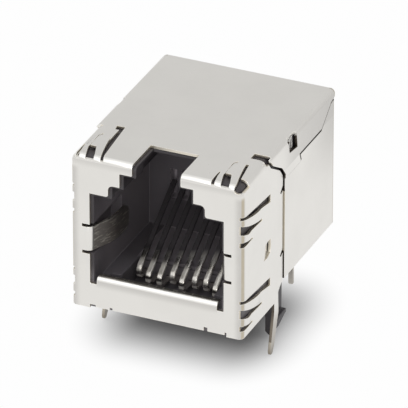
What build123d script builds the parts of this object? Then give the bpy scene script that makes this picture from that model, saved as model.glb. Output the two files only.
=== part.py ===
from build123d import *
import math
import os

# Shielded RJ45 board jack, millimetres, +Z up, port facing -Y.
# Everything is laid out with Y measured back from the front face, and moved at the end so that the
# origin is midway between the two board pegs, on the board's surface.

# Shield, one folded sheet
WIDTH = 15.9              # across the top flaps
HEIGHT = 14.4             # board surface to the top
DEPTH = 19.6              # front face to rear cover
SHEET = 0.25
BEND_RADIUS = 0.45        # outside radius of a fold
WING_RADIUS = 0.7         # outside radius where a front wing rolls into the top
WING_INSET = 0.16         # front wings sit inside the flaps' plane
PANEL_INSET = 0.08        # rear side panels sit inside the flaps' plane
SEAM_DEPTH = 8.6          # front face to the seam between wing and rear panel
SEAM_SHOULDERS = ((5.5, 0.3), (6.0, 0.95), (7.9, 2.1), (SEAM_DEPTH, 2.95))  # depth, drop below the top
SEAM_GAPS = (0.22, 0.28, 0.16)   # above, between and below the two notches beside the seam
SEAM_HOOKS = (10.1, 4.1)  # heights of those notches
HOOK_OUTLINE = ((0, 0.5), (-0.65, -0.1), (-0.5, -0.3), (0, 0))   # depth from the seam, height
REAR_EDGE_HEIGHT = 1.5    # lower edge of the rear panels
FLAP_FRONT = 11.85        # front end of the free part of each flap
FLAP_REAR = 16.5          # where the flap's edge starts to rise
FLAP_EDGE_HEIGHT = 11.8   # lower edge of the top flaps
FLAP_GAP = 0.26
SLIT_FOOT = (12.15, 11.05)   # lower end of the slit that frees each flap
FLAP_RISE = (1.1, 1.02)      # last corner of the flap's edge, in from the rear and down from the top
FLAP_END_DROP = 0.2          # where the flap's edge reaches the rear fold
COVER_WIDTH = 10.6        # rear cover between its two seams
COVER_DROP = 1.1          # top of the returned panels below the top
COVER_GAP = 0.15

# Port opening in the shield
PORT_WIDTH = 12.2
PORT_SILL = 2.35          # bottom of the opening beside the lip
PORT_SHOULDER = 10.92     # top of the full-width part
KEY_STEPS = ((8.8, 12.02), (6.7, 13.33))   # width and top of each step under the keyway
KEYWAY_WIDTH = 4.4
KEYWAY_DEPTH = 3.88       # how far the keyway runs back into the top
LIP_WIDTH = 10.95
LIP_HEIGHT = 3.05
LIP_LENGTH = 0.7
STEP_ROUND = 0.45         # inner corner of the wider step
SHOULDER_ROUND = 0.22     # outer corner under the wider step
CORNER_ROUND = 0.1        # the port's other corners

# Ground springs at both sides of the port
SPRING_LOW = 5.4
SPRING_HIGH = 7.65
SPRING_LENGTH = 5.2
SPRING_ROOT = 6.8         # half width where the notches beside each spring end
SPRING_NOTCH = 0.28       # height of those notches
SPRING_BEND = 6.15        # half width where each spring leaves the front face
SPRING_KNEE = (5.1, 2.5)  # half width and depth where the spring turns along the port
SPRING_REACH = 4.85       # half width left clear between the springs
SPRING_CORNER = 0.7

# Grounding fingers: slots cut in groups of three, with raised strips between them.
# Each outline is a list of (depth from the front, offset across the group)
SIDE_GROUP_HEIGHTS = (2.45, 10.4)
TOP_GROUP_PLACES = (-6.0, 6.25)
LONG_SLOT = ((-0.4, 1.0), (-0.4, 1.27), (0.8, 0.97), (1.7, 0.9), (5.9, 0.56), (5.9, -0.2), (0.8, 0.72))
TOP_WIDE_SLOT = ((-0.4, -0.36), (-0.4, 0.34), (0.5, 0.2), (1.68, -0.17), (1.7, -0.71), (3.7, -0.82),
                 (4.1, -0.62), (4.2, -0.7), (3.75, -0.94), (1.5, -0.83), (0.4, -0.54))
TOP_SHORT_SLOT = ((-0.4, -1.3), (-0.4, -1.0), (1.1, -1.18), (2.0, -1.28), (2.0, -1.4), (1.3, -1.42),
                  (0.45, -1.38))
TOP_STRIPS = (((0.45, 0.87), (0.8, 0.85), (4.0, 0.4), (4.0, -0.74), (3.7, -0.88), (1.65, -0.77),
               (1.5, -0.35), (0.45, 0.0)),
              ((0.45, -0.4), (1.95, -0.8), (1.95, -1.34), (1.1, -1.3), (0.45, -1.25)))
SIDE_WIDE_SLOT = ((-0.4, -0.28), (-0.4, 0.5), (1.1, -0.07), (4.15, -0.88), (4.15, -1.06), (1.1, -0.84),
                  (0.4, -0.62))
SIDE_SHORT_SLOT = ((-0.4, -1.6), (-0.4, -1.15), (1.1, -1.45), (2.2, -1.66), (2.2, -1.77), (1.1, -1.8),
                   (0.45, -1.76))
SIDE_STRIPS = (((0.45, 0.87), (0.8, 0.85), (4.0, 0.4), (4.0, -0.96), (1.5, -0.4), (0.45, 0.0)),
               ((0.45, -0.4), (1.95, -0.6), (1.95, -1.68), (1.1, -1.55), (0.45, -1.4)))
STRIP_RISES = (0.16, 0.08)   # how far the long and the short strips stand out
FINGER_TAB = ((2.5, 0.3), (5.25, -0.3), (5.25, 0.26))   # level tab left in the rear of a long slot

# Top corner of the right wing
WING_SLOT = (6.3, 7.75, 5.1, 6.0)        # half widths and depths of the slot at the seam's top
RELIEF = (7.0, 1.5, 0.62)                # inner half width, depth and drop of the right corner's relief
RELIEF_ROUND = 0.3

# Lances pressed inwards from the sides, as (depth, height) outlines, hinged at the front
MOON_LANCE = ((4.5, 5.2), (4.5, 6.3), (4.85, 6.55), (5.4, 6.7), (5.95, 6.7), (6.02, 6.0), (5.85, 5.45),
              (5.3, 5.18))
MOON_ANGLE = 12
TOOTH_HOLE = ((9.2, HEIGHT - 0.2), (10.0, HEIGHT + 0.15), (10.95, HEIGHT + 0.15), (11.2, HEIGHT - 1.55),
              (9.55, HEIGHT - 1.35))
TOOTH_TONGUE = ((9.2, HEIGHT - 0.55), (10.75, HEIGHT - 0.3), (11.1, HEIGHT - 1.5), (9.55, HEIGHT - 1.35))
TOOTH_ANGLE = 12
LANCE_ROOM = 0.55         # depth of the moulding's recess behind each lance
LANCE_MARGIN = 0.15       # and its margin all round

# Lower edge of the front face: (left, right, top) of each notch
LOWER_NOTCHES = ((-6.13, -5.6, 0.33), (-4.32, -4.05, 0.35), (4.28, 4.63, 0.5), (6.18, 6.36, 0.4))
LOWER_EDGE = (-5.6, 6.36, 0.15)          # the part that stands clear of the board

# Solder legs, one in each wing, as (depth, height)
LEG_LENGTH = 4.6          # below the board's surface
LEG_OUTLINE = ((6.8, 0.3), (6.8, -0.9), (6.4, -2.6), (6.02, 0.3 - LEG_LENGTH), (6.1, -LEG_LENGTH),
               (6.42, -LEG_LENGTH), (6.8, 0.6 - LEG_LENGTH), (7.3, -2.4), (7.7, -1.2), (7.62, 0.3))
WING_FOOT = ((7.62, 0.75), (8.25, 1.25))  # the wing's lower rear corner is cut back to this line

# Housing, moulded plastic
RIM = 0.27                # plastic seen inside the shield's opening
FIT = 0.04                # gap between moulding and sheet
PORT_FLOOR = 2.35
PORT_DEPTH = 11.6         # front face to the cavity's rear wall
CATCH_WALL = 1.7          # front face to the back of the latch catches
LATCH_POCKET_DEPTH = 8.5
LATCH_ROOF = 0.3          # moulding left above the latch pocket
TRENCH_FLOOR = 0.5        # floor under the contact noses
TRENCH_WIDTH = 8.44
TRENCH_START = 2.3
APRON_WIDTH = 10.2        # wider, in front of the trench
APRON_START = 0.9
COMB_DEPTH = 0.9
COMB_LOW = 5.2
COMB_HIGH = 8.0
POCKET_WALL = 0.5         # wall between the comb and the carrier's pocket
FOOT_LENGTH = 8.4         # front face to the end of the part that stands on the board

# Board pegs
PEG_ROW = 9.4             # front face to the pegs
PEG_SPACING = 13.2
PEG_WIDTH = 0.8
PEG_LENGTH = 4.25         # below the board's surface
PEG_THICKNESS = 1.7
BARB_REACH = 0.4
BARB_EDGE = 0.3
PEG_CHAMFER = 0.3
BOARD_THICKNESS = 1.6
BARB_CLEARANCE = 0.7

# Contacts
CONTACT_COUNT = 8
CONTACT_PITCH = 1.02
TAIL_PITCH = 1.27
WIRE_WIDTH = 0.46
WIRE_THICKNESS = 0.3
RUN_HEIGHT = 1.1          # lower run of each wire above the board
NOSE_RADIUS = 0.65
NOSE_PLACE = 4.72         # front face to where the spring arm leaves the nose
ARM_ANGLE = 32.2          # rise of the spring arm
NOSE_STAGGER = 0.5        # some noses sit this much further forward
STAGGERED = (2, 3, 5, 8)
NEAR_TAIL_ROW = 6.35      # pegs to the nearer row of tails
TAIL_ROW_SPACING = 2.54
TAIL_RADIUS = 0.5
TAIL_LENGTH = 4.8         # below the board's surface
SPLAY_START = 7.0
SPLAY_END = 12.5
WIRE_OVERLAP = 0.3        # how far a wire's straight pieces run into each other
WIRE_CLEARANCE = 0.02
SLOT_CLEARANCE = 0.09     # play of each wire in the comb

# Carrier
CARRIER_WIDTH = 11.2
CARRIER_HEIGHT = 8.2
BAR_WIDTH = 9.8
BAR_HEIGHT = 1.95
BAR_START = 6.0
CARRIER_FIT = 0.05

# Worked out from the sizes above
HALF = WIDTH / 2
WING_X = HALF - WING_INSET
PANEL_X = HALF - PANEL_INSET
ARM_END = PORT_DEPTH + WIRE_THICKNESS   # the spring arms end just inside the comb
REACH = 2.0               # how far cutters run past a surface
SIDE = Plane(origin=(0, 0, 0), x_dir=(0, 1, 0), z_dir=(1, 0, 0))


def block(x_low, x_high, y_low, y_high, z_low, z_high):
    """A box given by its limits."""
    box = Box(x_high - x_low, y_high - y_low, z_high - z_low)
    centre = ((x_low + x_high) / 2, (y_low + y_high) / 2, (z_low + z_high) / 2)
    return Pos(*centre) * box


def outline(points):
    """A flat face with straight sides through the points."""
    return make_face(Polyline(*points, close=True))


def front_prism(sketch, y_low, y_high):
    """A sketch of (X, Z) on the front face, pulled back from y_low to y_high."""
    return Pos(0, y_low, 0) * extrude(Plane.XZ * sketch, amount=-(y_high - y_low))


def side_prism(sketch, x_low, x_high):
    """A sketch of (Y, Z), pulled along X."""
    return Pos(x_low, 0, 0) * extrude(SIDE * sketch, amount=x_high - x_low)


def top_prism(sketch, z_low, z_high):
    """A sketch of (X, Y), pulled up."""
    return Pos(0, 0, z_low) * extrude(sketch, amount=z_high - z_low)


def both_sides(solid):
    """The solid and its mirror image across the jack's middle."""
    return solid + mirror(solid, about=Plane.YZ)


def stepped_port(shrink, sill):
    """The port's front outline: full width, two steps and the keyway, open past the top."""
    half = PORT_WIDTH / 2 - shrink
    points = [(half, sill), (half, PORT_SHOULDER - shrink)]
    for width, top in KEY_STEPS:
        points.append((width / 2 - shrink, points[-1][1]))
        points.append((width / 2 - shrink, top - shrink))
    points.append((KEYWAY_WIDTH / 2 - shrink, points[-1][1]))
    points.append((KEYWAY_WIDTH / 2 - shrink, HEIGHT + REACH))
    return points + [(-x, z) for x, z in reversed(points)]


def port_face(shrink, sill):
    """The port's outline with its corners rounded as punched."""
    face = outline(stepped_port(shrink, sill))
    wide_step = KEY_STEPS[0]

    def near(corner, height):
        return abs(abs(corner.X) - wide_step[0] / 2) < SHEET and abs(corner.Y - height) < SHEET

    face = fillet([corner for corner in face.vertices() if near(corner, wide_step[1])], STEP_ROUND)
    face = fillet([corner for corner in face.vertices() if near(corner, PORT_SHOULDER)], SHOULDER_ROUND)
    width, top = KEY_STEPS[1]
    plain = [corner for corner in face.vertices()
             if abs(corner.Y - top) < SHEET / 5 or abs(corner.Y - sill) < SHEET / 5]
    return fillet(plain, CORNER_ROUND)


def ribbon(points, width):
    """A narrow band of even width along straight runs."""
    return trace(Polyline(*points), line_width=width)


def wing_seam():
    """Centre line of the seam behind each front wing, as (Y, Z)."""
    slope = [(depth, HEIGHT - drop) for depth, drop in SEAM_SHOULDERS]
    return [(slope[0][0], HEIGHT + REACH)] + slope + [(SEAM_DEPTH, -REACH)]


def flap_edge():
    """Lower edge of each top flap, from the joggle to the rear fold, as (Y, Z)."""
    return [SLIT_FOOT, (FLAP_FRONT, FLAP_EDGE_HEIGHT), (FLAP_REAR, FLAP_EDGE_HEIGHT),
            (DEPTH - FLAP_RISE[0], HEIGHT - FLAP_RISE[1]), (DEPTH + REACH, HEIGHT - FLAP_END_DROP)]


def cover(half_width, y_low, y_high, z_low, side_radius, wall, fold_at_front):
    """A folded cover, open below and at one end, moved inwards by wall."""
    x = half_width - wall
    y_fold = y_low + wall if fold_at_front else y_high - wall
    y_open = y_high if fold_at_front else y_low
    low = z_low - (REACH if wall else 0)
    box = block(-x, x, min(y_fold, y_open), max(y_fold, y_open), low, HEIGHT - wall)
    top_sides = box.faces().sort_by(Axis.Z)[-1].edges().filter_by(Axis.Y)
    box = fillet(top_sides, side_radius - wall)
    end = box.faces().sort_by(Axis.Y)[0 if fold_at_front else -1]
    folds = [edge for edge in end.edges() if edge.center().Z > low + SHEET / 10]
    return fillet(folds, BEND_RADIUS - wall)


def covers(wall):
    """Wings, flaps and rear panels, each kept to its own region of the side."""
    seam = wing_seam()
    edge = flap_edge()
    far = DEPTH + REACH
    tall = HEIGHT + REACH
    wing_region = outline(seam + [(-REACH, -REACH), (-REACH, tall)])
    joggle = edge[0][1]
    flap_region = outline(seam[:-1] + [(SEAM_DEPTH, joggle)] + edge + [(far, tall)])
    panel_region = outline([(SEAM_DEPTH, -REACH), (SEAM_DEPTH, joggle)] + edge + [(far, -REACH)])
    pieces = (
        (cover(WING_X, 0, SEAM_DEPTH, 0, WING_RADIUS, wall, True), wing_region),
        (cover(HALF, WING_SLOT[2], DEPTH, REAR_EDGE_HEIGHT, BEND_RADIUS, wall, False), flap_region),
        (cover(PANEL_X, SEAM_DEPTH, DEPTH, REAR_EDGE_HEIGHT, BEND_RADIUS, wall, False), panel_region),
    )
    solids = [piece & side_prism(region, -WIDTH, WIDTH) for piece, region in pieces]
    return solids[0] + solids[1] + solids[2]


def finger_group(slot_outlines, strip_outlines):
    """One group of grounding fingers, lying on Z = 0 with depth along Y: what to cut, what to add."""
    through = -SHEET - FIT
    slots = [top_prism(outline([(u, v) for v, u in points]), through, REACH) for points in slot_outlines]
    strips = []
    for points, rise in zip(strip_outlines, STRIP_RISES):
        footprint = top_prism(outline([(u, v) for v, u in points]), through, REACH)
        depths = [v for v, u in points]
        first = (min(depths), 0)
        last = (max(depths), 0)
        middle = ((first[0] + last[0]) / 2, rise)
        crown = ThreePointArc(first, middle, last)
        belly = ThreePointArc((first[0], -SHEET), (middle[0], rise - SHEET), (last[0], -SHEET))
        ends = [Line(first, (first[0], -SHEET)), Line(last, (last[0], -SHEET))]
        arch = side_prism(make_face([crown, belly] + ends), -REACH, REACH)
        strip = arch & footprint
        for slot in slots:
            strip -= slot
        strips.append((footprint, strip))
    return slots, strips


def onto_side(solid, height):
    """Turns a piece lying on Z = 0 onto the right wing at a height."""
    return Pos(WING_X, 0, height) * mirror(solid, about=Plane(origin=(0, 0, 0), z_dir=(1, 0, -1)))


def grounding_fingers(shield):
    """Cuts the six groups of slots and sets their raised strips."""
    cuts = []
    adds = []
    slots, strips = finger_group((LONG_SLOT, SIDE_WIDE_SLOT, SIDE_SHORT_SLOT), SIDE_STRIPS)
    for height in SIDE_GROUP_HEIGHTS:
        for slot in slots:
            cuts.append(both_sides(onto_side(slot, height)))
        for footprint, strip in strips:
            cuts.append(both_sides(onto_side(footprint, height)))
            adds.append(both_sides(onto_side(strip, height)))
    slots, strips = finger_group((LONG_SLOT, TOP_WIDE_SLOT, TOP_SHORT_SLOT), TOP_STRIPS)
    for place in TOP_GROUP_PLACES:
        for slot in slots if place < 0 else slots[1:]:
            cuts.append(Pos(place, 0, HEIGHT) * slot)
        for footprint, strip in strips:
            cuts.append(Pos(place, 0, HEIGHT) * footprint)
            adds.append(Pos(place, 0, HEIGHT) * strip)
    tab = top_prism(outline([(u, v) for v, u in FINGER_TAB]), HEIGHT - SHEET, HEIGHT)
    adds.append(Pos(TOP_GROUP_PLACES[0], 0, 0) * tab)
    for cut in cuts:
        shield = shield - cut
    for add in adds:
        shield = shield + add
    return shield


def ground_spring():
    """The leaf that curls in from the right edge of the port."""
    middle = SHEET / 2
    path = FilletPolyline((SPRING_ROOT + BEND_RADIUS, middle), (SPRING_BEND, middle), SPRING_KNEE,
                          (SPRING_REACH + middle, SPRING_LENGTH), radius=[BEND_RADIUS, SPRING_LENGTH])
    solid = top_prism(trace(path, line_width=SHEET), SPRING_LOW, SPRING_HIGH)
    side = outline([(-REACH, SPRING_LOW), (SPRING_LENGTH, SPRING_LOW),
                    (SPRING_LENGTH, SPRING_HIGH), (-REACH, SPRING_HIGH)])
    side = fillet(side.vertices().sort_by(Axis.X)[-2:], SPRING_CORNER)
    return solid & side_prism(side, 0, HALF)


def lip():
    """The edge under the port, turned in over the moulding."""
    middle = SHEET / 2
    path = FilletPolyline((middle, PORT_SILL - BEND_RADIUS), (middle, LIP_HEIGHT - middle),
                          (LIP_LENGTH, LIP_HEIGHT - middle), radius=BEND_RADIUS - middle)
    return side_prism(trace(path, line_width=SHEET), -LIP_WIDTH / 2, LIP_WIDTH / 2)


def leg():
    """The right solder leg, cut in one with its wing."""
    return side_prism(outline(LEG_OUTLINE), WING_X - SHEET, WING_X)


def lance(hole_points, tongue_points, wall_x, angle):
    """A tongue cut from the right wall and pressed inwards about its front edge: the hole and the tongue."""
    hole = side_prism(outline(hole_points), wall_x - SHEET - FIT, HALF + REACH)
    hinge = Axis((wall_x, tongue_points[0][0], 0), (0, 0, 1))
    tongue = side_prism(outline(tongue_points), wall_x - SHEET, wall_x).rotate(hinge, angle)
    return hole, tongue


def shield_sheet():
    """The whole shield, folded from one blank."""
    shield = covers(0) - covers(SHEET)
    shield -= front_prism(port_face(0, PORT_SILL), -REACH, BEND_RADIUS)
    shield -= block(-KEYWAY_WIDTH / 2, KEYWAY_WIDTH / 2, -REACH, KEYWAY_DEPTH, PORT_SHOULDER, HEIGHT + REACH)
    notch = block(PORT_WIDTH / 2 - SHEET, SPRING_ROOT, -REACH, 2 * SHEET,
                  SPRING_LOW - SPRING_NOTCH, SPRING_HIGH + SPRING_NOTCH)
    shield -= both_sides(notch)
    shield += lip()
    shield += both_sides(ground_spring())
    shield = grounding_fingers(shield)

    # Seams between the wings and what lies behind them, and round the flaps
    inside = WING_X - 2 * SHEET
    outside = HALF + REACH
    high, low = SEAM_HOOKS
    runs = (wing_seam()[1:-1] + [(SEAM_DEPTH, high)],
            [(SEAM_DEPTH, high), (SEAM_DEPTH, low)],
            [(SEAM_DEPTH, low), (SEAM_DEPTH, -REACH)])
    cuts = [side_prism(ribbon(run, gap), inside, outside) for run, gap in zip(runs, SEAM_GAPS)]
    cuts.append(side_prism(ribbon(flap_edge(), FLAP_GAP), inside, outside))
    for height in SEAM_HOOKS:
        hook = outline([(SEAM_DEPTH + depth, height + rise) for depth, rise in HOOK_OUTLINE])
        cuts.append(side_prism(hook, inside, outside))
    foot = outline([(WING_FOOT[0][0], -REACH)] + list(WING_FOOT)
                   + [(SEAM_DEPTH, WING_FOOT[1][1]), (SEAM_DEPTH, -REACH)])
    cuts.append(side_prism(foot, inside, outside))
    for cut in cuts:
        shield -= both_sides(cut)

    # Top corner of the right wing: the slot at the seam's top, and the corner relief
    inner, outer, front, rear = WING_SLOT
    shield -= block(inner, outer, front, rear, HEIGHT - 2 * SHEET, HEIGHT + REACH)
    inner, depth, drop = RELIEF
    hole = outline([(inner, HEIGHT - drop), (inner, HEIGHT + REACH), (outside, HEIGHT + REACH),
                    (outside, HEIGHT - drop)])
    hole = fillet(hole.vertices().sort_by(Axis.Y)[:2].sort_by(Axis.X)[:1], RELIEF_ROUND)
    shield -= front_prism(hole, -REACH, depth)

    # Lances: a half moon in each wing, and a tooth at each flap's fold
    for outlines, wall_x, angle in (((MOON_LANCE, MOON_LANCE), WING_X, MOON_ANGLE),
                                    ((TOOTH_HOLE, TOOTH_TONGUE), HALF, TOOTH_ANGLE)):
        hole, tongue = lance(*outlines, wall_x, angle)
        shield = shield - both_sides(hole) + both_sides(tongue)

    # Lower edge of the front face
    for x_low, x_high, top in LOWER_NOTCHES + (LOWER_EDGE,):
        shield -= block(x_low, x_high, -REACH, 2 * SHEET, -REACH, top)

    # Rear cover between its seams
    half_cover = COVER_WIDTH / 2
    drop = HEIGHT - COVER_DROP
    shield -= both_sides(block(half_cover, half_cover + COVER_GAP, DEPTH - 2 * SHEET, DEPTH + REACH,
                               0, drop + COVER_GAP))
    shield -= both_sides(block(half_cover, HALF, DEPTH - 2 * SHEET, DEPTH + REACH, drop, drop + COVER_GAP))
    return shield + both_sides(leg())


def contact_x(number, pitch):
    """Place of a contact or tail across the jack."""
    return (number - (CONTACT_COUNT + 1) / 2) * pitch


def contact_wire(number, grow):
    """One contact wire: spring arm, nose, lower run, splay and tail, thicker all round by grow."""
    stagger = NOSE_STAGGER if number in STAGGERED else 0
    slope = math.tan(math.radians(ARM_ANGLE))
    rise = math.sin(math.radians(ARM_ANGLE))
    nose_z = RUN_HEIGHT + NOSE_RADIUS * (1 + math.cos(math.radians(ARM_ANGLE)))
    run_z = RUN_HEIGHT - stagger * rise
    corner_y = NOSE_PLACE - (nose_z - run_z) / slope
    end_z = nose_z + (ARM_END - NOSE_PLACE) * slope
    x_arm = contact_x(number, CONTACT_PITCH)
    x_tail = contact_x(number, TAIL_PITCH)
    row = PEG_ROW + NEAR_TAIL_ROW + (TAIL_ROW_SPACING if number % 2 == 0 else 0)
    thickness = WIRE_THICKNESS + 2 * grow
    half_width = WIRE_WIDTH / 2 + grow
    arm = FilletPolyline((ARM_END, end_z), (corner_y, run_z), (SPLAY_START, run_z), radius=NOSE_RADIUS)
    wire = side_prism(trace(arm, line_width=thickness), x_arm - half_width, x_arm + half_width)
    plan = Polyline((x_arm, SPLAY_START - WIRE_OVERLAP), (x_arm, SPLAY_START), (x_tail, SPLAY_END),
                    (x_tail, SPLAY_END + 2 * WIRE_OVERLAP))
    wire += top_prism(trace(plan, line_width=2 * half_width), run_z - thickness / 2, run_z + thickness / 2)
    drop = FilletPolyline((SPLAY_END + WIRE_OVERLAP, run_z), (row, run_z), (row, -TAIL_LENGTH - grow),
                          radius=TAIL_RADIUS)
    wire += side_prism(trace(drop, line_width=thickness), x_tail - half_width, x_tail + half_width)
    return wire


def board_peg():
    """The right board peg, with its barb facing outwards."""
    inner = PEG_SPACING / 2 - PEG_WIDTH / 2
    outer = inner + PEG_WIDTH
    catch = -(BOARD_THICKNESS + BARB_CLEARANCE)
    root = REAR_EDGE_HEIGHT + SHEET
    sketch = outline([(inner, root), (outer, root), (outer, catch), (outer + BARB_REACH, catch),
                      (outer + BARB_REACH, catch - BARB_EDGE), (outer - PEG_CHAMFER, -PEG_LENGTH),
                      (inner + PEG_CHAMFER, -PEG_LENGTH), (inner, PEG_CHAMFER - PEG_LENGTH)])
    return front_prism(sketch, PEG_ROW - PEG_THICKNESS / 2, PEG_ROW + PEG_THICKNESS / 2)


def housing_body():
    """The moulded housing: port, keyway, floor slots, comb, carrier pocket and pegs."""
    half = WING_X - SHEET - FIT
    top = HEIGHT - SHEET - FIT
    rear = DEPTH - SHEET - FIT
    body = block(-half, half, SHEET, rear, 0, top)
    corners = body.edges().filter_by(Axis.Z) + body.faces().sort_by(Axis.Z)[-1].edges()
    body = fillet(corners, BEND_RADIUS)
    body -= block(-WIDTH, WIDTH, FOOT_LENGTH, DEPTH + REACH, -REACH, REAR_EDGE_HEIGHT)

    # Port cavity with its steps, the keyway through the top and the latch pocket behind the catches
    port = [point for point in stepped_port(RIM, PORT_FLOOR) if point[1] < HEIGHT]
    body -= front_prism(outline(port), -REACH, PORT_DEPTH)
    key_half = KEYWAY_WIDTH / 2 - RIM
    body -= block(-key_half, key_half, -REACH, KEYWAY_DEPTH, PORT_SHOULDER, HEIGHT + REACH)
    latch_half = KEY_STEPS[-1][0] / 2 - RIM
    body -= block(-latch_half, latch_half, CATCH_WALL, LATCH_POCKET_DEPTH, PORT_SHOULDER, top - LATCH_ROOF)
    spring_room = block(PORT_WIDTH / 2 - 2 * RIM, SPRING_ROOT, -REACH, SPRING_LENGTH + SPRING_CORNER,
                        SPRING_LOW - SPRING_NOTCH, SPRING_HIGH + SPRING_NOTCH)
    body -= both_sides(spring_room)

    # A recess behind each lance
    for points in (MOON_LANCE, TOOTH_HOLE):
        depths = [depth for depth, height in points]
        heights = [height for depth, height in points]
        body -= both_sides(block(half - LANCE_ROOM, half + REACH,
                                 min(depths) - LANCE_MARGIN, max(depths) + LANCE_MARGIN,
                                 min(heights) - LANCE_MARGIN, max(heights) + LANCE_MARGIN))

    # Room for the carrier, from below and behind
    pocket_front = PORT_DEPTH + COMB_DEPTH + POCKET_WALL
    bar_half = BAR_WIDTH / 2 + CARRIER_FIT
    body -= block(-bar_half, bar_half, BAR_START - CARRIER_FIT, pocket_front + 1,
                  -REACH, BAR_HEIGHT + CARRIER_FIT)
    carrier_half = CARRIER_WIDTH / 2 + CARRIER_FIT
    body -= block(-carrier_half, carrier_half, pocket_front, DEPTH + REACH,
                  -REACH, CARRIER_HEIGHT + CARRIER_FIT)

    # Trench under the contact noses, with a wider apron in front of it
    body -= block(-TRENCH_WIDTH / 2, TRENCH_WIDTH / 2, TRENCH_START, BAR_START + CARRIER_FIT,
                  TRENCH_FLOOR, PORT_SHOULDER)
    body -= block(-APRON_WIDTH / 2, APRON_WIDTH / 2, APRON_START, TRENCH_START, TRENCH_FLOOR, PORT_SHOULDER)

    # Comb, one slot for every contact
    slot_half = WIRE_WIDTH / 2 + SLOT_CLEARANCE
    for number in range(1, CONTACT_COUNT + 1):
        x = contact_x(number, CONTACT_PITCH)
        body -= block(x - slot_half, x + slot_half, PORT_DEPTH - FIT, PORT_DEPTH + COMB_DEPTH,
                      COMB_LOW, COMB_HIGH)
    return body + both_sides(board_peg())


def carrier_body():
    """The insert: a bar under the port floor and a block behind the port, moulded round the wires."""
    block_front = PORT_DEPTH + COMB_DEPTH + POCKET_WALL + CARRIER_FIT
    rear = DEPTH - SHEET - FIT
    carrier = block(-BAR_WIDTH / 2, BAR_WIDTH / 2, BAR_START, block_front + 1, 0, BAR_HEIGHT)
    carrier += block(-CARRIER_WIDTH / 2, CARRIER_WIDTH / 2, block_front, rear, 0, CARRIER_HEIGHT)
    for number in range(1, CONTACT_COUNT + 1):
        carrier -= contact_wire(number, WIRE_CLEARANCE)
    return carrier


def write(solid, node):
    """Moves a piece to the origin between the pegs and writes it."""
    export_step(Pos(0, -PEG_ROW, 0) * solid, f"parts/{node}.step")


os.makedirs("parts", exist_ok=True)
write(shield_sheet(), "shield")
write(housing_body(), "housing")
write(carrier_body(), "contact_carrier")
for number in range(1, CONTACT_COUNT + 1):
    write(contact_wire(number, 0), f"contact_{number}")
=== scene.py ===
import math

import bmesh
import bpy
import numpy as np
from bpy.props import FloatProperty, FloatVectorProperty, PointerProperty
from bpy.types import Operator, Panel, PropertyGroup
from mathutils import Matrix, Vector


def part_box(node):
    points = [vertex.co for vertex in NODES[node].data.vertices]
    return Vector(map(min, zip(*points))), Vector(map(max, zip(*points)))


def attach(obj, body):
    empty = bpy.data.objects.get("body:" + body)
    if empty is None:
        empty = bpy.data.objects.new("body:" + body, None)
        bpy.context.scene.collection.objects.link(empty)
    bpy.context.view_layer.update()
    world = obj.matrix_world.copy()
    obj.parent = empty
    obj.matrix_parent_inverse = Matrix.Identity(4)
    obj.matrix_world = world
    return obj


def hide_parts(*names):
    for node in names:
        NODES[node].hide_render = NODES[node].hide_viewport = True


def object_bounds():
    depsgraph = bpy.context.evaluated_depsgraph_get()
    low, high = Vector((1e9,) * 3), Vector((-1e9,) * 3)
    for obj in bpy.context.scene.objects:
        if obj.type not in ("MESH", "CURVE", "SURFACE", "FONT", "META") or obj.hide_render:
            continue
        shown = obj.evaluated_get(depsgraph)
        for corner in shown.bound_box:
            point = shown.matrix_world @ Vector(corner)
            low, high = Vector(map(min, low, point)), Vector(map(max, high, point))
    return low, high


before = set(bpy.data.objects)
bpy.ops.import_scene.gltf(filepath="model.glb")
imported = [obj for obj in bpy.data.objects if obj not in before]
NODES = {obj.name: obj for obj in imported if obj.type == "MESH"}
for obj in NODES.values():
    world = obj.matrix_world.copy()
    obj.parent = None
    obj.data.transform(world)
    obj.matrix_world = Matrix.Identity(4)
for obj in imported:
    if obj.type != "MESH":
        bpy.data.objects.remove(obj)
CAD_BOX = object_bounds()

bl_info = {
    "name": "RJ45 Board Jack",
    "version": (1, 0, 0),
    "blender": (4, 5, 0),
    "location": "View3D > Sidebar > Jack",
    "description": "Dresses a shielded board jack in tinned sheet, black mouldings and plated wires",
    "category": "Object",
}

MM = 0.001
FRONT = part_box("shield")[0].y        # plane of the front face
REST_LEVEL = CAD_BOX[0].z            # tips of the solder tails

# Sizes of the folded sheet, in millimetres
SIDE = 7.95                          # half the width over the side flaps
SHEET = 0.25                         # thickness
FOLD = 0.45                          # outer radius of the folds
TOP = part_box("housing")[1].z / MM + 0.29     # the moulding stops one sheet and its fit below the top face

# Where the sheet's tones lie, in millimetres: across from the middle, back from the front face and up from
# the board
BEND_ACROSS = (6.9, 7.6)             # upright bends beside the front face
BEND_BACK = (0.3, 0.7)
BEND_UP = (13.0, 13.5)
BEND_LINE_ACROSS = 7.4               # thin line along each of them
BEND_LINE_BACK = (0.12, 0.42)
LIP_HALF = 5.5                       # lip before the port
LIP_SHADE_UP = (1.9, 2.6)            # front face just below it
LIP_BEND_UP = (2.68, 2.8)            # its bend
LIP_END_UP = 3.2
TOP_SHADE_UP = (TOP - 1.1, TOP - 0.5)        # front face just below the top
TOP_SHADE_END = TOP - 0.45
TOP_BEND_UP = (TOP - 0.34, TOP - 0.2)        # the top's front bend
SHADE_BACK = 0.3
SHINE_BACK = (0.35, 0.55)
FLAP_ACROSS = 7.7                    # side flaps and upper rear corners
FLAP_FOOT = 11.9
FLAP_FOLD_UP = (14.0, 14.3)
FLAP_START_BACK = (7.5, 11.0)
FLAP_RUN_BACK = (9.0, 19.0)
CORNER_BACK = (12.0, 20.0)
CORNER_UP = (5.0, 12.0)
SLIT_BACK = 9.2                      # slit under each flap
SLIT_UP = 8.0
REAR_BEND_ACROSS = SIDE - 0.5        # upright bends at the rear
REAR_BEND_BACK = 19.1
REAR_BEND_UP = 1.0
SEAM_BACK = 6.2                      # seam behind each wing
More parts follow.
